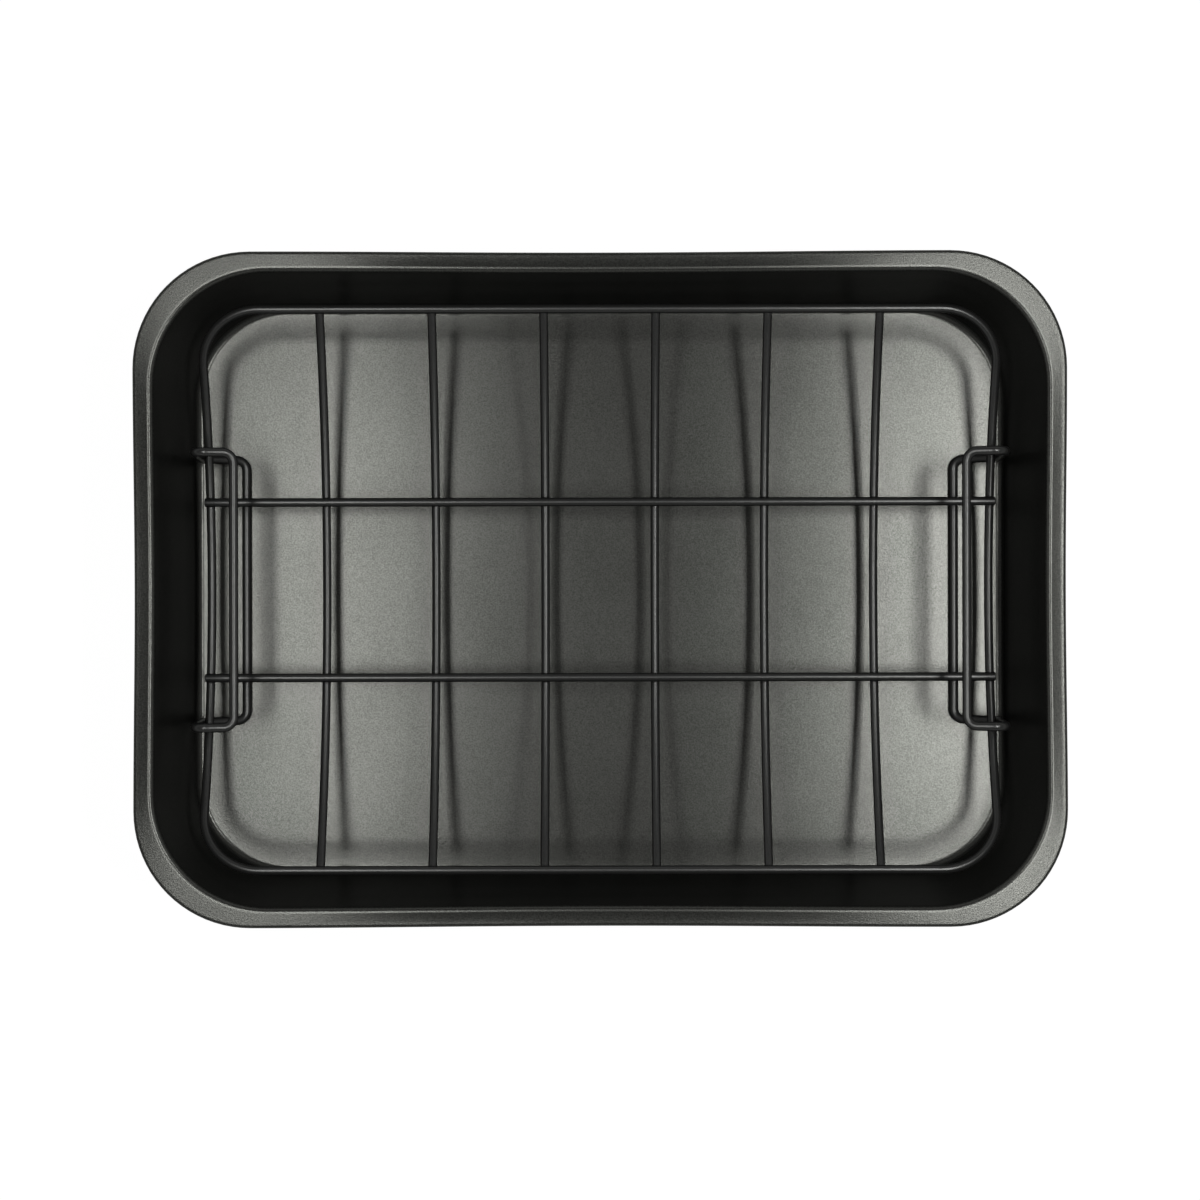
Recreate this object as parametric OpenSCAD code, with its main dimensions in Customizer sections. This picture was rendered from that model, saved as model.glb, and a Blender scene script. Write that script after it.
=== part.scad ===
// Rectangular roasting pan with a lift-out wire roasting rack.
// The pan is one drawn sheet with rounded corners, sloping walls and a flat rim that ends in a roll.
// The rack is a cradle of round wire: a closed outer frame, six curved cross wires, two long rails
// and two closed loops, each of which is a foot at the bottom and a lifting handle at the top.
// Origin: centre of the underside of the pan. X runs along the length, Y along the width, Z up.

/* [Pan] */
// Length over the rim
pan_length = 420; // [380:1:480]
// Width over the rim
pan_width = 304; // [290:1:360]
// Height from the underside to the top of the rim
pan_height = 70; // [68:1:90]
// Thickness of the sheet
sheet = 0.9; // [0.6:0.1:1.2]
// Distance from the inside of the wall's top to the outer edge of the rim
rim_width = 9; // [8:0.5:14]
// Outward slope of the walls, in degrees from upright
wall_draft = 6.3; // [4:0.1:8]
// Corner radius of the floor, on the line where wall and floor would meet
floor_corner = 43.5; // [36:0.5:50]
// Inner radius of the bend between floor and wall
floor_bend = 3.4; // [2.4:0.2:6]
// Inner radius of the bend between wall and rim
shoulder_bend = 1.6; // [1:0.1:2.5]
// Corner radius of the rim's outer edge
rim_corner = 52.6; // [48:0.2:60]
// Outer radius of the rolled edge
roll_radius = 1.4; // [1.3:0.1:2.6]
// Part of a full turn that the rolled edge makes, in degrees
roll_turn = 250; // [180:5:270]

/* [Rack] */
// Distance from the centre of an end wire to the edge of the pan floor
end_space = 10.7; // [9:0.1:14]
// Distance from the centre of a long wire to the inside of the wall's top
side_space = 15; // [12:0.2:24]
// Corner radius of the outer frame, on the centre of the wire
frame_corner = 27; // [20:1:35]
// Radius of the curve that dips the end wires, on the centre of the wire
cradle_radius = 253; // [240:1:300]
// Height of the lowest point of the end wires above the pan floor, on the centre of the wire
cradle_height = 19.4; // [15:0.2:25]
// Distance from an end wire to the nearest cross wire
end_bay = 54.3; // [40:0.1:64]
// Distance between the two rails
rail_spacing = 82; // [60:1:96]
// Diameter of the frame wire and the rails
frame_wire = 4.1; // [3:0.1:4.6]
// Diameter of the cross wires
cross_wire = 4; // [2.6:0.1:4.6]
// Depth to which crossing wires sink into each other where they are welded
weld_set = 0.25; // [0.1:0.05:0.3]

/* [Handles] */
// Width of each handle loop between the centres of its legs
handle_width = 124.4; // [110:0.2:140]
// Diameter of the handle wire
handle_wire = 4.2; // [3:0.1:4.8]
// Bend radius of every corner of the loop, on the centre of the wire
handle_bend = 5; // [4:0.5:6]
// Inward lean of the risers, in degrees from upright
riser_lean = 5.5; // [0:0.5:6]
// Height of the lower bend of the risers above the pan floor
knee_height = 14; // [12:0.5:18]
// Depth of the upper bend of the risers below the top of the rim
tip_depth = 2.2; // [0.6:0.2:12]
// Horizontal distance from the lower bend inward to the foot bar
foot_reach = 18.8; // [14:0.2:24]
// Horizontal distance from the upper bend inward to the grip bar
grip_reach = 17; // [14:0.2:24]
// Drop from the upper bend to the grip bar
grip_drop = 5.6; // [0:0.2:10]
// Space between the foot bars and the pan floor
rest_gap = 0.3; // [0.2:0.05:0.5]

/* [Hidden] */
$fn = 64;
right_angle = 90;
full_turn = 360;
// Sides of the round wire in a closed loop, and steps along its bends and its dipping end wires
wire_sides = 16;
bend_steps = 6;
dip_steps = 24;
coating_dark = [0.17, 0.17, 0.165];
wire_dark = [0.13, 0.13, 0.13];

// Sizes that several shapes share are kept to this step, so that the shapes meet exactly
fine_step = 0.01;

// Inside of the wall's top, half sizes
top_x = pan_length / 2 - rim_width;
top_y = pan_width / 2 - rim_width;
// How far the wall moves inward from the top of the rim to the floor
draft_in = (pan_height - sheet) * tan(wall_draft);
// Centres of the wall's corners
wall_cx = snap(top_x - draft_in - floor_corner);
wall_cy = snap(top_y - draft_in - floor_corner);
// The shoulder turns about a line below the rim, outside the wall
shoulder_outer = shoulder_bend + sheet;
shoulder_z = pan_height - shoulder_outer;
shoulder_r = snap(
    floor_corner + draft_in - shoulder_outer * tan(wall_draft) + shoulder_outer / cos(wall_draft));
// The floor bend turns about a line above the floor, inside the wall
floor_bend_r = snap(floor_corner - floor_bend * tan((right_angle - wall_draft) / 2));
floor_bend_z = sheet + floor_bend;
// Centres of the rim's outer corners and radius to the centre of the roll
rim_cx = pan_length / 2 - rim_corner;
rim_cy = pan_width / 2 - rim_corner;
roll_r = rim_corner - roll_radius;
// Straight pieces that the curves of the pan's sections are made of
wall_steps = 6;
roll_steps = 14;
// Width over which floor, wall, rim and roll lie in each other where they join
lap = 0.6;

// Upper side of the pan floor
floor_z = sheet;
cross_count = 6;
frame_x = top_x - draft_in - end_space;
frame_y = top_y - side_space;
// Distance from one cross wire to the next
cross_pitch = 2 * (frame_x - end_bay) / (cross_count - 1);
rail_y = rail_spacing / 2;
// Distances between the centres of two wires that are welded where they cross
frame_on_rail = frame_wire - weld_set;
cross_on_frame = (cross_wire + frame_wire) / 2 - weld_set;
handle_on_frame = (handle_wire + frame_wire) / 2 - weld_set;
// The end wires lie on a circle about this height
frame_centre_z = floor_z + cradle_height + cradle_radius;
rail_z = frame_centre_z - sqrt(pow(cradle_radius - frame_on_rail, 2) - pow(rail_y, 2));
// The frame's corners lie in a plane that carries on from the end wires
frame_reach = sqrt(pow(cradle_radius, 2) + pow(frame_corner, 2));
long_z = frame_centre_z - sqrt(pow(frame_reach, 2) - pow(frame_y, 2));
frame_slope = asin(frame_y / frame_reach) - atan(frame_corner / cradle_radius);
// The cross wires lie on a circle that passes just below the rails and the long wires
cross_centre_z =
    (pow(frame_y, 2) - pow(rail_y, 2) + pow(long_z, 2) - pow(rail_z, 2)) / (2 * (long_z - rail_z));
cross_inner = sqrt(pow(rail_y, 2) + pow(cross_centre_z - rail_z, 2));
cross_radius = cross_inner + cross_on_frame;
cross_slope = asin(frame_y / cross_inner);

// Side view of a handle loop: height and distance from the middle of the rack
leg_y = handle_width / 2;
weld_z = frame_centre_z - sqrt(pow(cradle_radius, 2) - pow(leg_y, 2));
weld_x = frame_x + handle_on_frame;
knee_z = floor_z + knee_height;
knee_x = weld_x + (weld_z - knee_z) * tan(riser_lean);
tip_z = pan_height - tip_depth;
tip_x = weld_x - (tip_z - weld_z) * tan(riser_lean);
foot_x = knee_x - foot_reach;
foot_z = floor_z + rest_gap + handle_wire / 2;
grip_x = tip_x - grip_reach;
grip_z = tip_z - grip_drop;

function unit(v) = v / norm(v);
// A value, or each value of a list, kept to the fine step
function snap(v) = is_list(v) ? [for (e = v) snap(e)] : round(v / fine_step) * fine_step;
// Half of the angle by which a path turns from direction u to direction v
function half_turn(u, v) = acos(unit(u) * unit(v)) / 2;

// Stations round a bend of radius r at corner b of the path a, b, c: each is a point and a direction
function bend_path(a, b, c, r) =
    let (
        u = unit(b - a),
        v = unit(c - b),
        turn = 2 * half_turn(u, v),
        outward = cross(u, unit(cross(u, v))),
        centre = b - u * r * tan(turn / 2) - outward * r
    )
    [for (i = [0 : bend_steps])
        let (w = turn * i / bend_steps)
        [centre + r * (cos(w) * outward + sin(w) * u), cos(w) * u - sin(w) * outward]];

// Closed loop of round wire through stations, each a point, a direction and a side direction
module wire_loop(stations, d) {
    count = len(stations);
    points = [for (s = stations, k = [0 : wire_sides - 1])
        let (w = full_turn * k / wire_sides)
        s[0] + d / 2 * (cos(w) * s[2] + sin(w) * cross(s[1], s[2]))];
    function index(i, k) = (i % count) * wire_sides + k % wire_sides;
    faces = [for (i = [0 : count - 1], k = [0 : wire_sides - 1], half = [0, 1])
        half == 0
            ? [index(i, k), index(i + 1, k), index(i + 1, k + 1)]
            : [index(i, k), index(i + 1, k + 1), index(i, k + 1)]];
    polyhedron(points, faces);
}

// Straight wire of diameter d along X, of the given length, centred at point p
module wire_rod(p, length, d) {
    translate(p)
        rotate([0, right_angle, 0])
            cylinder(h = length, d = d, center = true);
}

// Wire of diameter d along a dipping arc of radius r, spanning the angle slope to each side of Y = 0
module wire_dip(r, slope, d) {
    translate([0, 0, r])
        rotate([0, right_angle, 0])
            rotate([0, 0, -slope])
                rotate_extrude(angle = 2 * slope)
                    translate([r, 0])
                        circle(d = d);
}

// Points along an arc in the plane, from angle a0 to angle a1
function arc_points(centre, r, a0, a1, steps) =
    [for (i = [0 : steps])
        let (w = a0 + (a1 - a0) * i / steps)
        snap(centre + r * [cos(w), sin(w)])];

// Section of the wall with its lower and upper bend; the floor is left of it and the rim right of it
module wall_section() {
    lower = [floor_bend_r, floor_bend_z];
    upper = [shoulder_r, shoulder_z];
    wall_turn = 2 * right_angle - wall_draft;
    polygon(concat(
        [[floor_bend_r - lap, 0], [floor_bend_r - lap, sheet]],
        arc_points(lower, floor_bend, -right_angle, -wall_draft, wall_steps),
        arc_points(upper, shoulder_outer, wall_turn, right_angle, wall_steps),
        [[shoulder_r + lap, pan_height], [shoulder_r + lap, pan_height - sheet]],
        arc_points(upper, shoulder_bend, right_angle, wall_turn, wall_steps),
        arc_points(lower, floor_bend + sheet, -wall_draft, -right_angle, wall_steps)));
}

// Section of the rolled edge, from the rim's top outward, down and back under
module roll_section() {
    centre = [roll_r, pan_height - roll_radius];
    polygon(concat(
        [[roll_r - lap, pan_height - sheet], [roll_r - lap, pan_height]],
        arc_points(centre, roll_radius, right_angle, right_angle - roll_turn, roll_steps),
        arc_points(centre, roll_radius - sheet, right_angle - roll_turn, right_angle, roll_steps)));
}

// Carries a section round a rectangle with corner centres at cx, cy; the section's X points outward
module carry_round(cx, cy) {
    for (side = [0, 1]) {
        rotate([0, 0, side * 2 * right_angle]) {
            translate([cx, cy])
                rotate_extrude(angle = right_angle)
                    children();
            translate([-cx, cy])
                rotate([0, 0, right_angle])
                    rotate_extrude(angle = right_angle)
                        children();
            translate([cx, cy, 0])
                rotate([right_angle, 0, 0])
                    linear_extrude(height = 2 * cy)
                        children();
            translate([-cx, cy, 0])
                rotate([right_angle, 0, right_angle])
                    linear_extrude(height = 2 * cx)
                        children();
        }
    }
}

// Rectangle with corner centres at cx, cy and corner radius r
module rounded_plate(cx, cy, r) {
    square([2 * (cx + r), 2 * cy], center = true);
    square([2 * cx, 2 * (cy + r)], center = true);
    for (x = [-cx, cx], y = [-cy, cy])
        translate([x, y])
            circle(r = r);
}

// One drawn sheet: floor, walls, flat rim and rolled edge
module pan() {
    color(coating_dark) {
        linear_extrude(height = sheet)
            rounded_plate(wall_cx, wall_cy, floor_bend_r - lap / 2);
        carry_round(wall_cx, wall_cy)
            wall_section();
        translate([0, 0, pan_height - sheet])
            linear_extrude(height = sheet)
                difference() {
                    rounded_plate(rim_cx, rim_cy, roll_r - lap / 2);
                    rounded_plate(wall_cx, wall_cy, shoulder_r + lap / 2);
                }
        carry_round(rim_cx, rim_cy)
            roll_section();
    }
}

// Closed outer frame: two dipping end wires, four sloping corners and two straight long wires
module rack_frame() {
    up_slope = [0, cos(frame_slope), sin(frame_slope)];
    off_slope = [0, -sin(frame_slope), cos(frame_slope)];
    corner_right = [frame_x, frame_y, long_z];
    corner_left = [-frame_x, frame_y, long_z];
    end_wire = [for (i = [1 : dip_steps - 1])
        let (w = frame_slope * (2 * i / dip_steps - 1))
        [[frame_x, 0, frame_centre_z] + cradle_radius * [0, sin(w), -cos(w)],
            [0, cos(w), sin(w)], [0, -sin(w), cos(w)]]];
    corners = concat(
        bend_path(corner_right - frame_x * up_slope, corner_right, corner_left, frame_corner),
        bend_path(corner_right, corner_left, corner_left - frame_x * up_slope, frame_corner));
    half_frame = concat(end_wire, [for (s = corners) [s[0], s[1], off_slope]]);
    other_half = [for (s = half_frame) [for (v = s) [-v[0], -v[1], v[2]]]];
    color(wire_dark)
        wire_loop(concat(half_frame, other_half), frame_wire);
}

// Curved cross wire, counted from the left end
module cross_wire_at(number) {
    color(wire_dark)
        translate([(number - (cross_count + 1) / 2) * cross_pitch, 0, cross_centre_z - cross_radius])
            wire_dip(cross_radius, cross_slope, cross_wire);
}

// Straight rail on top of the end wires and cross wires; side is -1 at the front and 1 at the back
module rail_at(side) {
    color(wire_dark)
        wire_rod([0, side * rail_y, rail_z], 2 * frame_x + frame_wire, frame_wire);
}

// Closed handle loop; end is -1 at the left and 1 at the right
module handle_at(end) {
    foot = [end * foot_x, 0, foot_z];
    knee = [end * knee_x, 0, knee_z];
    tip = [end * tip_x, 0, tip_z];
    grip = [end * grip_x, 0, grip_z];
    back = [0, leg_y, 0];
    // Each bend and, where it joins a bar to a leg, the direction of that leg up the side view
    bends = [
        [[foot - back, foot + back, knee + back], knee - foot],
        [[foot + back, knee + back, tip + back]],
        [[knee + back, tip + back, grip + back]],
        [[tip + back, grip + back, grip - back], grip - tip],
        [[grip + back, grip - back, tip - back], grip - tip],
        [[grip - back, tip - back, knee - back]],
        [[tip - back, knee - back, foot - back]],
        [[knee - back, foot - back, foot + back], knee - foot]
    ];
    stations = [for (bend = bends, s = bend_path(bend[0][0], bend[0][1], bend[0][2], handle_bend))
        let (leg = is_undef(bend[1]) ? s[1] * sign(s[0][1]) : bend[1])
        [s[0], s[1], unit(cross(leg, back))]];
    color(wire_dark)
        wire_loop(stations, handle_wire);
}

module cross_wire_1() cross_wire_at(1);
module cross_wire_2() cross_wire_at(2);
module cross_wire_3() cross_wire_at(3);
module cross_wire_4() cross_wire_at(4);
module cross_wire_5() cross_wire_at(5);
module cross_wire_6() cross_wire_at(6);
module rail_front() rail_at(-1);
module rail_back() rail_at(1);
module handle_left() handle_at(-1);
module handle_right() handle_at(1);

pan();
rack_frame();
cross_wire_1();
cross_wire_2();
cross_wire_3();
cross_wire_4();
cross_wire_5();
cross_wire_6();
rail_front();
rail_back();
handle_left();
handle_right();
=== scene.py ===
"""Roasting pan with a lift-out wire rack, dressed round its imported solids.

The pan is one drawn sheet with a satin dark coating. The rack is round coated wire with a small
bead of coating in every crossing. All sizes are in metres unless a name says otherwise.
"""

from math import asin, atan, atan2, cos, pi, radians, sin, sqrt, tan

import bpy
from mathutils import Matrix, Vector


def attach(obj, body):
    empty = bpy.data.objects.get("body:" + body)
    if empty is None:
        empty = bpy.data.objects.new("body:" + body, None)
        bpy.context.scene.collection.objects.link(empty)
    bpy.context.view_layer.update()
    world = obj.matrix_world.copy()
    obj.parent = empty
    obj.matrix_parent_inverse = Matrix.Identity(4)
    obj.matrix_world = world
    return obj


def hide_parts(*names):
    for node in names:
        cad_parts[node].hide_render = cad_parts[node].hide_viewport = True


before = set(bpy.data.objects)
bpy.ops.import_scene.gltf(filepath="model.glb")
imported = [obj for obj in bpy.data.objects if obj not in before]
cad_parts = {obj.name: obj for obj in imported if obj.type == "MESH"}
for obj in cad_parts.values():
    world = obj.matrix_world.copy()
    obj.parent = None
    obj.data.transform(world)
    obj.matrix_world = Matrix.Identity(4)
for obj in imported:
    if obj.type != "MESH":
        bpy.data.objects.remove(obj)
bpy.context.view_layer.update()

MM = 0.001

# Sizes of the pan
PAN_LENGTH = 420 * MM
PAN_WIDTH = 304 * MM
PAN_HEIGHT = 70 * MM
SHEET = 0.9 * MM
RIM_WIDTH = 9 * MM
WALL_DRAFT = radians(6.3)
FLOOR_CORNER = 43.5 * MM
FLOOR_BEND = 3.4 * MM
SHOULDER_BEND = 1.6 * MM
RIM_CORNER = 52.6 * MM
ROLL_RADIUS = 1.4 * MM
ROLL_TURN = radians(250)
SIDE_BOW = 0.75 * MM         # how far the top of each side is drawn in at its middle
LONG_WALL_LEAN = 1.1 * MM    # how much further in the long walls meet the floor
END_WALL_LEAN = 1.0 * MM     # and the end walls
# How the flat rim hangs along each side: how far its outer edge hangs at the middle, how much
# steeper it starts at the bend, how far its rolled edge rises again, and at which share of the
# side the droop starts and is full. A start below 0 lies in the corner before the side.
RIM_DROOP = {"back": (0.50 * MM, 0.7, 0.02 * MM, 0.07, 0.32),
             "left": (0.64 * MM, 0.2, 0.02 * MM, -0.20, 0.15),
             "front": (0.47 * MM, 0.7, 0.04 * MM, 0.03, 0.30),
             "right": (0.60 * MM, 0.2, 0.08 * MM, -0.25, 0.24)}
ROLL_RISE_FROM = 0.72        # share of the flat at which the rise to the rolled edge starts

TOP_X = PAN_LENGTH / 2 - RIM_WIDTH
TOP_Y = PAN_WIDTH / 2 - RIM_WIDTH
DRAFT_IN = (PAN_HEIGHT - SHEET) * tan(WALL_DRAFT)
WALL_CX = TOP_X - DRAFT_IN - FLOOR_CORNER
WALL_CY = TOP_Y - DRAFT_IN - FLOOR_CORNER
RIM_CX = PAN_LENGTH / 2 - RIM_CORNER
RIM_CY = PAN_WIDTH / 2 - RIM_CORNER
SHOULDER_OUTER = SHOULDER_BEND + SHEET
SHOULDER_R = (FLOOR_CORNER + DRAFT_IN - SHOULDER_OUTER * tan(WALL_DRAFT)
              + SHOULDER_OUTER / cos(WALL_DRAFT))
FLOOR_BEND_R = FLOOR_CORNER - FLOOR_BEND * tan((pi / 2 - WALL_DRAFT) / 2)

# Sizes of the rack
CROSS_COUNT = 6
END_BAY = 54.3 * MM
CROSS_WIRE = 4.0 * MM
FRAME_WIRE = 4.1 * MM
HANDLE_WIRE = 4.2 * MM
FRAME_CORNER = 27 * MM
CRADLE_RADIUS = 253 * MM
CRADLE_HEIGHT = 19.4 * MM
RAIL_SPACING = 82 * MM
WELD_SET = 0.25 * MM
END_SPACE = 10.7 * MM
SIDE_SPACE = 15 * MM
HANDLE_WIDTH = 124.4 * MM
HANDLE_BEND = 5 * MM
RISER_LEAN = radians(5.5)
KNEE_HEIGHT = 14 * MM
TIP_DEPTH = 2.2 * MM
FOOT_REACH = 18.8 * MM
GRIP_REACH = 17 * MM
GRIP_DROP = 5.6 * MM
REST_GAP = 0.3 * MM

FRAME_X = TOP_X - DRAFT_IN - END_SPACE
FRAME_Y = TOP_Y - SIDE_SPACE
RAIL_Y = RAIL_SPACING / 2
CROSS_PITCH = 2 * (FRAME_X - END_BAY) / (CROSS_COUNT - 1)
CROSS_ON_FRAME = (CROSS_WIRE + FRAME_WIRE) / 2 - WELD_SET
HANDLE_ON_FRAME = (HANDLE_WIRE + FRAME_WIRE) / 2 - WELD_SET
FRAME_CENTRE_Z = SHEET + CRADLE_HEIGHT + CRADLE_RADIUS
RAIL_Z = FRAME_CENTRE_Z - sqrt((CRADLE_RADIUS - FRAME_WIRE + WELD_SET) ** 2 - RAIL_Y ** 2)
FRAME_REACH = sqrt(CRADLE_RADIUS ** 2 + FRAME_CORNER ** 2)
LONG_Z = FRAME_CENTRE_Z - sqrt(FRAME_REACH ** 2 - FRAME_Y ** 2)
FRAME_SLOPE = asin(FRAME_Y / FRAME_REACH) - atan(FRAME_CORNER / CRADLE_RADIUS)
CROSS_CENTRE_Z = ((FRAME_Y ** 2 - RAIL_Y ** 2 + LONG_Z ** 2 - RAIL_Z ** 2)
                  / (2 * (LONG_Z - RAIL_Z)))
CROSS_INNER = sqrt(RAIL_Y ** 2 + (CROSS_CENTRE_Z - RAIL_Z) ** 2)
CROSS_RADIUS = CROSS_INNER + CROSS_ON_FRAME
CROSS_SLOPE = asin(FRAME_Y / CROSS_INNER)
LEG_Y = HANDLE_WIDTH / 2
WELD_Z = FRAME_CENTRE_Z - sqrt(CRADLE_RADIUS ** 2 - LEG_Y ** 2)
WELD_X = FRAME_X + HANDLE_ON_FRAME
KNEE_Z = SHEET + KNEE_HEIGHT
KNEE_X = WELD_X + (WELD_Z - KNEE_Z) * tan(RISER_LEAN)
TIP_Z = PAN_HEIGHT - TIP_DEPTH
TIP_X = WELD_X - (TIP_Z - WELD_Z) * tan(RISER_LEAN)
FOOT_X = KNEE_X - FOOT_REACH
FOOT_Z = SHEET + REST_GAP + HANDLE_WIRE / 2
GRIP_X = TIP_X - GRIP_REACH
GRIP_Z = TIP_Z - GRIP_DROP


# Finish of the coatings
FLAKE_GLOSS = 0.2            # the coating's own shine, beside that of its flake
PEEL_LOW, PEEL_HIGH = 0.3, 0.7               # nearly all of the peel's noise lies between these
CLOUD_SHARE, FLECK_SHARE = 0.3, 0.7          # what each adds to the tone
RUB_FROM, RUB_FULL = 0.52, 0.62              # pointiness at which an edge starts to be rubbed
FLOOR_COAT_TO = 2 * MM       # height up to which the coating lies as on the floor
WALL_COAT_FROM = 7 * MM      # height from which it lies as on the walls
FLOOR_METAL, FLOOR_ROUGH = 0.7, 0.25         # the coating's metal share and roughness there
COLOUR_A, COLOUR_B, COLOUR_OUT = 6, 7, 2     # colour sockets of a Mix node


def node_tree(owner):
    """Returns the emptied node tree of a material and a short way to add nodes to it."""
    tree = owner.node_tree if hasattr(owner, "node_tree") else owner
    tree.nodes.clear()

    def add(kind, **settings):
        node = tree.nodes.new(kind)
        for key, value in settings.items():
            setattr(node, key, value)
        return node
    return tree, add


def new_group(name, inputs, outputs):
    """An empty shader node group with float, colour or vector sockets."""
    group = bpy.data.node_groups.new(name, "ShaderNodeTree")
    kinds = {"f": "NodeSocketFloat", "c": "NodeSocketColor", "v": "NodeSocketVector"}
    for label, kind, value in inputs:
        socket = group.interface.new_socket(name=label, in_out="INPUT", socket_type=kinds[kind])
        if value is not None:
            socket.default_value = value
    for label, kind in outputs:
        group.interface.new_socket(name=label, in_out="OUTPUT", socket_type=kinds[kind])
    return group


def coating_grain():
    """Orange peel of a baked coating: its height, its flecks from 0 to 1, and faint clouds."""
    group = new_group(
        "coating grain",
        [("Grain Size", "f", 0.8 * MM), ("Cloud Size", "f", 30 * MM)],
        [("Height", "f"), ("Fleck", "f"), ("Tone", "f")])
    tree, add = node_tree(group)
    start, end = add("NodeGroupInput"), add("NodeGroupOutput")
    place = add("ShaderNodeTexCoord")
    scales = []
    for label in ("Grain Size", "Cloud Size"):
        share = add("ShaderNodeMath", operation="DIVIDE")
        share.inputs[0].default_value = 1
        tree.links.new(start.outputs[label], share.inputs[1])
        scales.append(share)
    peel = add("ShaderNodeTexNoise")
    peel.inputs["Detail"].default_value = 2.5
    peel.inputs["Roughness"].default_value = 0.6
    cloud = add("ShaderNodeTexNoise")
    cloud.inputs["Detail"].default_value = 3
    for texture, scale in ((peel, scales[0]), (cloud, scales[1])):
        tree.links.new(place.outputs["Object"], texture.inputs["Vector"])
        tree.links.new(scale.outputs[0], texture.inputs["Scale"])
    tree.links.new(peel.outputs["Fac"], end.inputs["Height"])
    fleck = add("ShaderNodeMapRange")
    fleck.inputs["From Min"].default_value = PEEL_LOW
    fleck.inputs["From Max"].default_value = PEEL_HIGH
    tree.links.new(peel.outputs["Fac"], fleck.inputs["Value"])
    tree.links.new(fleck.outputs["Result"], end.inputs["Fleck"])
    tree.links.new(cloud.outputs["Fac"], end.inputs["Tone"])
    return group


def edge_rub():
    """Where a sharp or rolled edge is rubbed: 1 on the edge, 0 on open surface."""
    group = new_group(
        "edge rub", [("Reach", "f", RUB_FROM), ("Patch Size", "f", 12 * MM)], [("Rub", "f")])
    tree, add = node_tree(group)
    start, end = add("NodeGroupInput"), add("NodeGroupOutput")
    shape = add("ShaderNodeNewGeometry")
    place = add("ShaderNodeTexCoord")
    share = add("ShaderNodeMath", operation="DIVIDE")
    share.inputs[0].default_value = 1
    tree.links.new(start.outputs["Patch Size"], share.inputs[1])
    patch = add("ShaderNodeTexNoise")
    patch.inputs["Detail"].default_value = 4
    tree.links.new(place.outputs["Object"], patch.inputs["Vector"])
    tree.links.new(share.outputs[0], patch.inputs["Scale"])
    edge = add("ShaderNodeMapRange")
    edge.inputs["From Max"].default_value = RUB_FULL
    tree.links.new(shape.outputs["Pointiness"], edge.inputs["Value"])
    tree.links.new(start.outputs["Reach"], edge.inputs["From Min"])
    rub = add("ShaderNodeMath", operation="MULTIPLY")
    tree.links.new(edge.outputs["Result"], rub.inputs[0])
    tree.links.new(patch.outputs["Fac"], rub.inputs[1])
    tree.links.new(rub.outputs[0], end.inputs["Rub"])
    return group


GRAIN = coating_grain()
RUB = edge_rub()


def coated(name, dark, light, metal, rough, rough_shift, grain, cloud, bump, rub_colour):
    """A baked satin coating with metal flake: tone between dark and light, grain in bump and gloss.

    The flake makes it shine from above and stay dark along its edges, where it is seen aslant."""
    material = bpy.data.materials.new(name)
    material.use_nodes = True
    tree, add = node_tree(material)
    out = add("ShaderNodeOutputMaterial")
    skin = add("ShaderNodeBsdfPrincipled")
    skin.inputs["Metallic"].default_value = metal
    skin.inputs["Specular IOR Level"].default_value = FLAKE_GLOSS
    skin.inputs["Specular Tint"].default_value = (0, 0, 0, 1)
    texture = add("ShaderNodeGroup", node_tree=GRAIN)
    texture.inputs["Grain Size"].default_value = grain
    texture.inputs["Cloud Size"].default_value = cloud
    rubbed = add("ShaderNodeGroup", node_tree=RUB)
    tone = add("ShaderNodeMix", data_type="RGBA")
    tone.inputs[COLOUR_A].default_value = dark + (1,)
    tone.inputs[COLOUR_B].default_value = light + (1,)
    blend = add("ShaderNodeMath", operation="MULTIPLY_ADD")
    blend.inputs[1].default_value = CLOUD_SHARE
    fine = add("ShaderNodeMath", operation="MULTIPLY")
    fine.inputs[1].default_value = FLECK_SHARE
    tree.links.new(texture.outputs["Tone"], blend.inputs[0])
    tree.links.new(texture.outputs["Fleck"], fine.inputs[0])
    tree.links.new(fine.outputs[0], blend.inputs[2])
    tree.links.new(blend.outputs[0], tone.inputs[0])
    worn = add("ShaderNodeMix", data_type="RGBA")
    worn.inputs[COLOUR_B].default_value = rub_colour + (1,)
    tree.links.new(rubbed.outputs["Rub"], worn.inputs[0])
    tree.links.new(tone.outputs[COLOUR_OUT], worn.inputs[COLOUR_A])
    tree.links.new(worn.outputs[COLOUR_OUT], skin.inputs["Base Color"])
    matt = add("ShaderNodeMapRange")
    matt.inputs["To Min"].default_value = rough - rough_shift
    matt.inputs["To Max"].default_value = rough + rough_shift
    tree.links.new(texture.outputs["Height"], matt.inputs["Value"])
    tree.links.new(matt.outputs["Result"], skin.inputs["Roughness"])
    peel = add("ShaderNodeBump")
    peel.inputs["Distance"].default_value = bump
    peel.inputs["Strength"].default_value = 1
    tree.links.new(texture.outputs["Height"], peel.inputs["Height"])
    tree.links.new(peel.outputs["Normal"], skin.inputs["Normal"])
    tree.links.new(skin.outputs[0], out.inputs["Surface"])
    return material


PAN_COATING = coated(
    "pan coating", dark=(0.028, 0.0284, 0.0262), light=(0.082, 0.0832, 0.0766), metal=0.84,
    rough=0.278, rough_shift=0.006, grain=0.7 * MM, cloud=40 * MM, bump=0.04 * MM,
    rub_colour=(0.08, 0.08, 0.076))
WIRE_COATING = coated(
    "wire coating", dark=(0.040, 0.0403, 0.0392), light=(0.056, 0.0565, 0.055), metal=0.8,
    rough=0.31, rough_shift=0.05, grain=0.6 * MM, cloud=20 * MM, bump=0.02 * MM,
    rub_colour=(0.09, 0.09, 0.087))


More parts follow.
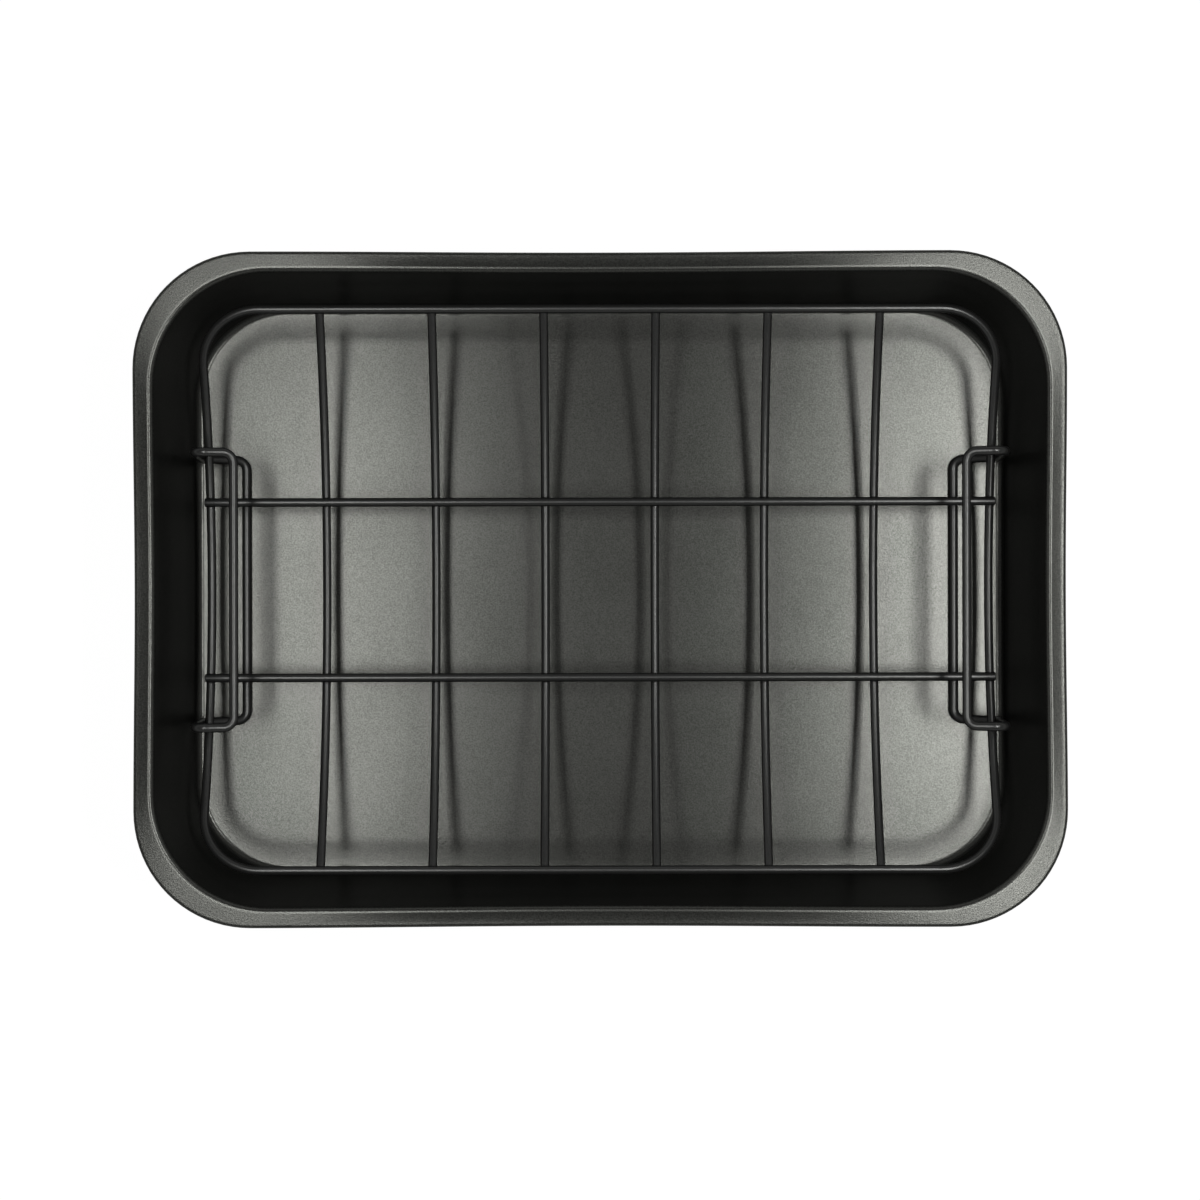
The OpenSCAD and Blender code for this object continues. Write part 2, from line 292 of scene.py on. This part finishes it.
def even_floor(material, metal, rough):
    """Lays the coating smoother on the level floor than on the drawn walls and the rim."""
    tree = material.node_tree
    skin = tree.nodes["Principled BSDF"]
    place = tree.nodes.new("ShaderNodeTexCoord")
    split = tree.nodes.new("ShaderNodeSeparateXYZ")
    tree.links.new(place.outputs["Object"], split.inputs[0])
    height = tree.nodes.new("ShaderNodeMapRange")
    height.inputs["From Min"].default_value = FLOOR_COAT_TO
    height.inputs["From Max"].default_value = WALL_COAT_FROM
    tree.links.new(split.outputs["Z"], height.inputs["Value"])
    gloss = tree.nodes.new("ShaderNodeMath")
    gloss.operation = "MULTIPLY_ADD"
    gloss.inputs[1].default_value = skin.inputs["Metallic"].default_value - metal
    gloss.inputs[2].default_value = metal
    tree.links.new(height.outputs["Result"], gloss.inputs[0])
    tree.links.new(gloss.outputs[0], skin.inputs["Metallic"])
    even = tree.nodes.new("ShaderNodeMix")
    even.inputs["A"].default_value = rough
    tree.links.new(height.outputs["Result"], even.inputs["Factor"])
    tree.links.new(skin.inputs["Roughness"].links[0].from_socket, even.inputs["B"])
    tree.links.new(even.outputs["Result"], skin.inputs["Roughness"])


even_floor(PAN_COATING, FLOOR_METAL, FLOOR_ROUGH)


# Mesh helpers
def make_piece(name, points, faces, material, body):
    """A mesh object from points and faces, shaded smooth, riding on its body."""
    mesh = bpy.data.meshes.new(name)
    mesh.from_pydata([tuple(p) for p in points], [], faces)
    mesh.materials.append(material)
    mesh.validate()
    mesh.shade_smooth()
    piece = bpy.data.objects.new(name, mesh)
    bpy.context.scene.collection.objects.link(piece)
    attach(piece, body)
    return piece


def bend_path(a, b, c, r, steps):
    """Points and directions round a bend of radius r at corner b of the path a, b, c."""
    u, v = (b - a).normalized(), (c - b).normalized()
    turn = u.angle(v)
    side = u.cross(v).normalized()
    outward = u.cross(side)
    centre = b - u * r * tan(turn / 2) - outward * r
    stations = []
    for i in range(steps + 1):
        w = turn * i / steps
        stations.append((centre + r * (cos(w) * outward + sin(w) * u),
                         cos(w) * u - sin(w) * outward, side))
    return stations


def closed_wire(stations, diameter, sides=24):
    """Points and faces of a closed loop of round wire; a station is point, direction, side."""
    points, faces = [], []
    count = len(stations)
    for place, along, side in stations:
        across = along.cross(side).normalized()
        for k in range(sides):
            w = 2 * pi * k / sides
            points.append(place + diameter / 2 * (cos(w) * side + sin(w) * across))
    for i in range(count):
        for k in range(sides):
            j, m = (i + 1) % count, (k + 1) % sides
            faces.append((i * sides + k, i * sides + m, j * sides + m, j * sides + k))
    return points, faces


def open_wire(stations, diameter, sides=24, round_end=0.5 * MM, end_steps=4):
    """Points and faces of a wire with two cut ends whose edges the coating has rounded."""
    def end_rings(place, along, side, inward):
        rounded = [pi / 2 * i / end_steps for i in range(end_steps + 1)]
        return [(place + inward * along * round_end * (1 - cos(w)), along, side,
                 diameter / 2 - round_end * (1 - sin(w))) for w in rounded]
    middle = [(place, along, side, diameter / 2) for place, along, side in stations[1:-1]]
    rings = end_rings(*stations[0], 1) + middle + end_rings(*stations[-1], -1)[::-1]
    points, faces = [], []
    for place, along, side, radius in rings:
        across = along.cross(side).normalized()
        for k in range(sides):
            w = 2 * pi * k / sides
            points.append(place + radius * (cos(w) * side + sin(w) * across))
    for i in range(len(rings) - 1):
        for k in range(sides):
            m = (k + 1) % sides
            faces.append((i * sides + k, i * sides + m, (i + 1) * sides + m, (i + 1) * sides + k))
    faces.append(tuple(reversed(range(sides))))
    last_ring = (len(rings) - 1) * sides
    faces.append(tuple(last_ring + k for k in range(sides)))
    return points, faces


# The pan
FLOOR_RINGS = (0.98, 0.9, 0.7, 0.4)          # shares of the floor's size at which rings lie


def arc(centre, r, a0, a1, steps):
    """Points of an arc about a centre, from angle a0 to a1."""
    return [(centre[0] + r * cos(a0 + (a1 - a0) * i / steps),
             centre[1] + r * sin(a0 + (a1 - a0) * i / steps)) for i in range(steps + 1)]


def pan_section():
    """The sheet's section from the floor outward, over the rim and back along the underside.

    Each entry is (corner centre x, corner centre y, radius, height, share of the rim's width)."""
    floor_at = (FLOOR_BEND_R, SHEET + FLOOR_BEND)
    top_at = (SHOULDER_R, PAN_HEIGHT - SHOULDER_OUTER)
    roll_at = (RIM_CORNER - ROLL_RADIUS, PAN_HEIGHT - ROLL_RADIUS)
    turned = pi - WALL_DRAFT
    wall, rim = (WALL_CX, WALL_CY), (RIM_CX, RIM_CY)

    def wall_line(start, end, steps=10):
        (xa, za), (xb, zb) = start, end
        return [(xa + (xb - xa) * i / steps, za + (zb - za) * i / steps) for i in range(1, steps)]
    inner_low = arc(floor_at, FLOOR_BEND, -pi / 2, -WALL_DRAFT, steps=14)
    inner_top = arc(top_at, SHOULDER_OUTER, turned, pi / 2, steps=12)
    outer_top = arc(top_at, SHOULDER_BEND, pi / 2, turned, steps=10)
    outer_low = arc(floor_at, FLOOR_BEND + SHEET, -WALL_DRAFT, -pi / 2, steps=14)
    roll_out = arc(roll_at, ROLL_RADIUS, pi / 2, pi / 2 - ROLL_TURN, steps=30)
    roll_in = arc(roll_at, ROLL_RADIUS - SHEET, pi / 2 - ROLL_TURN, pi / 2, steps=24)
    upper = [(wall, p, 0) for p in inner_low + wall_line(inner_low[-1], inner_top[0]) + inner_top]
    over = [(rim, p, 1) for p in roll_out + roll_in]
    under = [(wall, p, 0) for p in outer_top + wall_line(outer_top[-1], outer_low[0]) + outer_low]
    rings = []
    for centre, (r, z), reach in (upper + flat_rim_rings(upper[-1], over[0]) + over
                                  + flat_rim_rings(under[0], over[-1])[::-1] + under):
        low = max(0, 1 - z / (PAN_HEIGHT - SHOULDER_OUTER))
        rings.append((centre[0] - END_WALL_LEAN * low, centre[1] - LONG_WALL_LEAN * low,
                      r, z, reach))
    return rings


def flat_rim_rings(bend, roll, steps=16):
    """Rings of the flat rim, from the bend round the wall's corners to the roll round the rim's."""
    (ca, (ra, za), _), (cb, (rb, zb), _) = bend, roll
    rings = []
    for i in range(1, steps):
        t = i / steps
        rings.append(((ca[0] + (cb[0] - ca[0]) * t, ca[1] + (cb[1] - ca[1]) * t),
                      (ra + (rb - ra) * t, za + (zb - za) * t), t))
    return rings


def soft_step(t, even=0.6):
    """Rises from 0 to 1, partly evenly and partly easing in and out."""
    t = min(1, max(0, t))
    return even * t + (1 - even) * t * t * (3 - 2 * t)


def rim_hang(side, t, reach):
    """How far the rim hangs at share t of a side, and at share reach of its own width."""
    droop, sag, rise, start, full = RIM_DROOP[side]
    near_roll = max(0, (reach - ROLL_RISE_FROM) / (1 - ROLL_RISE_FROM))
    depth = droop * (reach + sag * reach * (1 - reach)) - rise * near_roll ** 2
    return depth * soft_step((t - start) / (full - start))


def ring_points(cx, cy, r, z, reach, corner_steps=20, long_steps=40, short_steps=30):
    """Points round a rectangle with rounded corners, with each side's inward bow and rim droop."""
    points = []
    quarter = [(cx, cy, 0, "back"), (-cx, cy, pi / 2, "left"), (-cx, -cy, pi, "front"),
               (cx, -cy, 3 * pi / 2, "right")]
    bow = SIDE_BOW * min(1, max(0, z / PAN_HEIGHT))
    for n, (x0, y0, w0, side) in enumerate(quarter):
        side_before = quarter[n - 1][3]
        length = 2 * (cx if n % 2 == 0 else cy)
        length_before = 2 * (cy if n % 2 == 0 else cx)
        for i in range(corner_steps + 1):
            w = (pi / 2) * i / corner_steps
            hang = (rim_hang(side_before, -r * w / length_before, reach)
                    + rim_hang(side, -r * (pi / 2 - w) / length, reach))
            points.append((x0 + r * cos(w0 + w), y0 + r * sin(w0 + w), z - hang))
        x1, y1, w1, _ = quarter[(n + 1) % 4]
        steps = long_steps if n % 2 == 0 else short_steps
        for i in range(1, steps):
            t = i / steps
            middle = sin(pi * t) ** 2
            hang = rim_hang(side, min(t, 1 - t), reach)
            x, y = x0 + (x1 - x0) * t, y0 + (y1 - y0) * t
            points.append((x + (r - bow * middle) * cos(w1), y + (r - bow * middle) * sin(w1),
                           z - hang))
    return points


def build_pan():
    """The pan: its section carried round the corners, and the floor closed on both faces."""
    rings = pan_section()
    points, faces = [], []
    for ring in rings:
        points += ring_points(*ring)
    per = len(points) // len(rings)
    for i in range(len(rings) - 1):
        for k in range(per):
            m = (k + 1) % per
            faces.append((i * per + k, (i + 1) * per + k, (i + 1) * per + m, i * per + m))
    # The floor closes inward in a few rings, so that its shading stays even
    for base, upward in ((0, True), ((len(rings) - 1) * per, False)):
        previous = base
        for share in FLOOR_RINGS:
            start = len(points)
            for k in range(per):
                x, y, z = points[base + k]
                points.append((x * share, y * share, z))
            for k in range(per):
                m = (k + 1) % per
                quad = (previous + k, previous + m, start + m, start + k)
                faces.append(quad if upward else tuple(reversed(quad)))
            previous = start
        fan = [previous + k for k in range(per)]
        faces.append(tuple(fan if upward else reversed(fan)))
    piece = make_piece("pan_coated", points, faces, PAN_COATING, "pan")
    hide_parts("pan")
    return piece


# The rack
BEAD_ACROSS = (1.9 * MM, 1.9 * MM, 0.55 * MM)    # where two lying wires cross
BEAD_UPRIGHT = (0.5 * MM, 1.9 * MM, 1.9 * MM)    # where a riser meets the frame's end


def dip_stations(x, radius, slope, centre_z, steps=48):
    """Stations of a wire that dips in an arc, from the front up to the back."""
    stations = []
    for i in range(steps + 1):
        w = slope * (2 * i / steps - 1)
        stations.append((Vector((x, radius * sin(w), centre_z - radius * cos(w))),
                         Vector((0, cos(w), sin(w))), Vector((1, 0, 0))))
    return stations


def build_frame_wire():
    """The closed outer frame: half of its loop, and the same half turned round."""
    up = Vector((0, cos(FRAME_SLOPE), sin(FRAME_SLOPE)))
    right = Vector((FRAME_X, FRAME_Y, LONG_Z))
    left = Vector((-FRAME_X, FRAME_Y, LONG_Z))
    half = dip_stations(FRAME_X, CRADLE_RADIUS, FRAME_SLOPE, FRAME_CENTRE_Z)[1:-1]
    half = [(p, d, Vector((0, -d.z, d.y))) for p, d, _ in half]
    off = Vector((0, -sin(FRAME_SLOPE), cos(FRAME_SLOPE)))
    for a, b, c in ((right - FRAME_X * up, right, left), (right, left, left - FRAME_X * up)):
        half += [(p, d, off) for p, d, _ in bend_path(a, b, c, FRAME_CORNER, steps=18)]
    flip = Matrix.Rotation(pi, 3, "Z")
    stations = half + [(flip @ p, flip @ d, flip @ s) for p, d, s in half]
    points, faces = closed_wire(stations, FRAME_WIRE)
    return finish_wire("rack_frame_coated", "rack_frame", points, faces)


def finish_wire(name, node, points, faces):
    """A coated wire that stands for its node."""
    piece = make_piece(name, points, faces, WIRE_COATING, "rack")
    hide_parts(node)
    return piece


def cross_x(number):
    """Where a cross wire lies along the pan."""
    return (number - (CROSS_COUNT + 1) / 2) * CROSS_PITCH


def build_cross_wires():
    """The cross wires, each an arc between the long frame wires."""
    for number in range(1, CROSS_COUNT + 1):
        stations = dip_stations(cross_x(number), CROSS_RADIUS, CROSS_SLOPE, CROSS_CENTRE_Z)
        points, faces = open_wire(stations, CROSS_WIRE)
        finish_wire(f"cross_wire_{number}_coated", f"cross_wire_{number}", points, faces)


def build_rails(steps=24):
    """The two straight wires along the rack."""
    reach = FRAME_X + FRAME_WIRE / 2
    for side, node in ((-1, "rail_front"), (1, "rail_back")):
        stations = [(Vector((-reach + 2 * reach * i / steps, side * RAIL_Y, RAIL_Z)),
                     Vector((1, 0, 0)), Vector((0, 1, 0))) for i in range(steps + 1)]
        points, faces = open_wire(stations, FRAME_WIRE)
        finish_wire(f"{node}_coated", node, points, faces)


def build_handles():
    """The closed loop at each end: foot bar, two risers, grip bar."""
    for end, node in ((-1, "handle_left"), (1, "handle_right")):
        back = Vector((0, LEG_Y, 0))
        foot, knee = Vector((end * FOOT_X, 0, FOOT_Z)), Vector((end * KNEE_X, 0, KNEE_Z))
        tip, grip = Vector((end * TIP_X, 0, TIP_Z)), Vector((end * GRIP_X, 0, GRIP_Z))
        corners = [foot + back, knee + back, tip + back, grip + back,
                   grip - back, tip - back, knee - back, foot - back]
        stations = []
        for i, corner in enumerate(corners):
            before, after = corners[i - 1], corners[(i + 1) % len(corners)]
            stations += bend_path(before, corner, after, HANDLE_BEND, steps=12)
        points, faces = closed_wire(even_sides(stations), HANDLE_WIRE)
        finish_wire(f"{node}_coated", node, points, faces)


def even_sides(stations):
    """Carries one side direction round a closed bent wire, so that its ring never twists."""
    carried = []
    side = None
    for place, along, bend_side in stations:
        if side is None:
            side = bend_side
        side = (side - along * side.dot(along)).normalized()
        carried.append((place, along, side))
    _, along, first = carried[0]
    last = carried[-1][2]
    twist = (last - along * last.dot(along)).normalized()
    offset = atan2(twist.cross(first).dot(along), twist.dot(first))
    spread = []
    for i, (place, along, side) in enumerate(carried):
        share = offset * i / len(carried)
        spread.append((place, along, Matrix.Rotation(share, 3, along) @ side))
    return spread


def build_weld_beads(rings=8, sides=16):
    """A small bead of coating in the crevice of each welded crossing."""
    crossings = []
    for number in range(1, CROSS_COUNT + 1):
        for side in (-1, 1):
            crossings.append((cross_x(number), side * RAIL_Y, RAIL_Z - FRAME_WIRE / 2))
            crossings.append((cross_x(number), side * FRAME_Y,
                              LONG_Z - FRAME_WIRE / 2 * cos(CROSS_SLOPE)))
    for end in (-1, 1):
        for side in (-1, 1):
            crossings.append((end * FRAME_X, side * RAIL_Y, RAIL_Z - FRAME_WIRE / 2))
            crossings.append((end * (FRAME_X + FRAME_WIRE / 2), side * LEG_Y, WELD_Z))
    points, faces = [], []
    for x, y, z in crossings:
        upright = abs(abs(x) - FRAME_X - FRAME_WIRE / 2) < MM / 2
        size = BEAD_UPRIGHT if upright else BEAD_ACROSS
        start = len(points)
        points.append((x, y, z + size[2]))
        for i in range(1, rings):
            w = pi * i / rings
            for k in range(sides):
                a = 2 * pi * k / sides
                points.append((x + size[0] * sin(w) * cos(a), y + size[1] * sin(w) * sin(a),
                               z + size[2] * cos(w)))
        points.append((x, y, z - size[2]))
        last = len(points) - 1
        for k in range(sides):
            m = (k + 1) % sides
            faces.append((start, start + 1 + k, start + 1 + m))
            for i in range(rings - 2):
                a, b = start + 1 + i * sides, start + 1 + (i + 1) * sides
                faces.append((a + k, b + k, b + m, a + m))
            a = start + 1 + (rings - 2) * sides
            faces.append((a + k, last, a + m))
    piece = make_piece("weld_beads", points, faces, WIRE_COATING, "rack")
    return piece


build_pan()
build_frame_wire()
build_cross_wires()
build_rails()
build_handles()
build_weld_beads()


# Stage, light and camera
TABLE_REACH = 40             # metres to each side, so that its edge is out of sight
TABLE_TOP = -0.2 * MM        # just under the pan, so that the two never share a plane
TABLE_TONE = 0.8
TABLE_GLOW = 1.06            # brightness of the white that the camera and reflections see
TABLE_GLOW_SHARE = 0.9       # the rest is its lit surface, with the pan's shadow
SOFTBOX_WIDTH = 0.13
SOFTBOX_HEIGHT = 0.93
SOFTBOXES = {"softbox left": (-0.256, 0.54, 3.75),    # place along the pan, length, power
             "softbox right": (0.338, 0.55, 5.95)}
CEILING_FILL = 0.05          # light from overhead, beside the lamps
HORIZON_FILL = 0.9           # light from all round, low down
HORIZON_BAND = 0.75          # height of that band, as the sine of its elevation
CAMERA_LENS = 67.6
CAMERA_PLACE = (-0.0001, -0.00487, 1.0809)
CAMERA_TURN = radians(-0.12)


def build_floor():
    """A white table, close to plain white where it is seen, that keeps the soft shadow.

    From below it is clear, so that the pan's underside can be looked at."""
    mesh = bpy.data.meshes.new("table")
    mesh.from_pydata([(x * TABLE_REACH, y * TABLE_REACH, TABLE_TOP)
                      for x, y in ((-1, -1), (1, -1), (1, 1), (-1, 1))], [], [(0, 1, 2, 3)])
    table = bpy.data.objects.new("table", mesh)
    bpy.context.scene.collection.objects.link(table)
    material = bpy.data.materials.new("white table")
    material.use_nodes = True
    tree, add = node_tree(material)
    out = add("ShaderNodeOutputMaterial")
    paint = add("ShaderNodeBsdfDiffuse")
    paint.inputs["Color"].default_value = (TABLE_TONE, TABLE_TONE, TABLE_TONE, 1)
    glow = add("ShaderNodeEmission")
    glow.inputs["Strength"].default_value = TABLE_GLOW
    path = add("ShaderNodeLightPath")
    direct = add("ShaderNodeMath", operation="MAXIMUM")
    seen = add("ShaderNodeMath", operation="MULTIPLY")
    seen.inputs[1].default_value = TABLE_GLOW_SHARE
    mix = add("ShaderNodeMixShader")
    tree.links.new(path.outputs["Is Camera Ray"], direct.inputs[0])
    tree.links.new(path.outputs["Is Glossy Ray"], direct.inputs[1])
    tree.links.new(direct.outputs[0], seen.inputs[0])
    tree.links.new(seen.outputs[0], mix.inputs[0])
    tree.links.new(paint.outputs[0], mix.inputs[1])
    tree.links.new(glow.outputs[0], mix.inputs[2])
    shape = add("ShaderNodeNewGeometry")
    clear = add("ShaderNodeBsdfTransparent")
    side = add("ShaderNodeMixShader")
    tree.links.new(shape.outputs["Backfacing"], side.inputs[0])
    tree.links.new(mix.outputs[0], side.inputs[1])
    tree.links.new(clear.outputs[0], side.inputs[2])
    tree.links.new(side.outputs[0], out.inputs["Surface"])
    mesh.materials.append(material)


def add_softbox(name, x, length, power):
    """A long softbox over one end of the pan, facing straight down."""
    lamp = bpy.data.lights.new(name, "AREA")
    lamp.shape = "RECTANGLE"
    lamp.size, lamp.size_y = SOFTBOX_WIDTH, length
    lamp.energy = power
    box = bpy.data.objects.new(name, lamp)
    box.location = (x, 0, SOFTBOX_HEIGHT)
    bpy.context.scene.collection.objects.link(box)


def build_world():
    """A dim studio with a lighter band along the horizon; white where the camera sees it."""
    world = bpy.data.worlds.new("studio")
    world.use_nodes = True
    tree, add = node_tree(world)
    out = add("ShaderNodeOutputWorld")
    fill = add("ShaderNodeBackground")
    place = add("ShaderNodeTexCoord")
    split = add("ShaderNodeSeparateXYZ")
    tree.links.new(place.outputs["Generated"], split.inputs[0])
    band = add("ShaderNodeMapRange", interpolation_type="SMOOTHSTEP")
    band.inputs["From Min"].default_value = 0
    band.inputs["From Max"].default_value = HORIZON_BAND
    band.inputs["To Min"].default_value = HORIZON_FILL
    band.inputs["To Max"].default_value = CEILING_FILL
    tree.links.new(split.outputs["Z"], band.inputs["Value"])
    tree.links.new(band.outputs["Result"], fill.inputs["Color"])
    seen = add("ShaderNodeBackground")
    seen.inputs["Color"].default_value = (1, 1, 1, 1)
    path = add("ShaderNodeLightPath")
    mix = add("ShaderNodeMixShader")
    tree.links.new(path.outputs["Is Camera Ray"], mix.inputs[0])
    tree.links.new(fill.outputs[0], mix.inputs[1])
    tree.links.new(seen.outputs[0], mix.inputs[2])
    tree.links.new(mix.outputs[0], out.inputs["Surface"])
    bpy.context.scene.world = world


def build_camera():
    """The camera, straight above the pan."""
    camera = bpy.data.cameras.new("camera")
    camera.sensor_width = 36
    camera.lens = CAMERA_LENS
    camera.clip_start, camera.clip_end = 0.01, 50
    holder = bpy.data.objects.new("camera", camera)
    holder.location = CAMERA_PLACE
    holder.rotation_euler = (0, 0, CAMERA_TURN)
    bpy.context.scene.collection.objects.link(holder)
    bpy.context.scene.camera = holder


build_floor()
for softbox, (place, length, power) in SOFTBOXES.items():
    add_softbox(softbox, place, length, power)
build_world()
build_camera()
bpy.context.scene.view_settings.view_transform = "Standard"
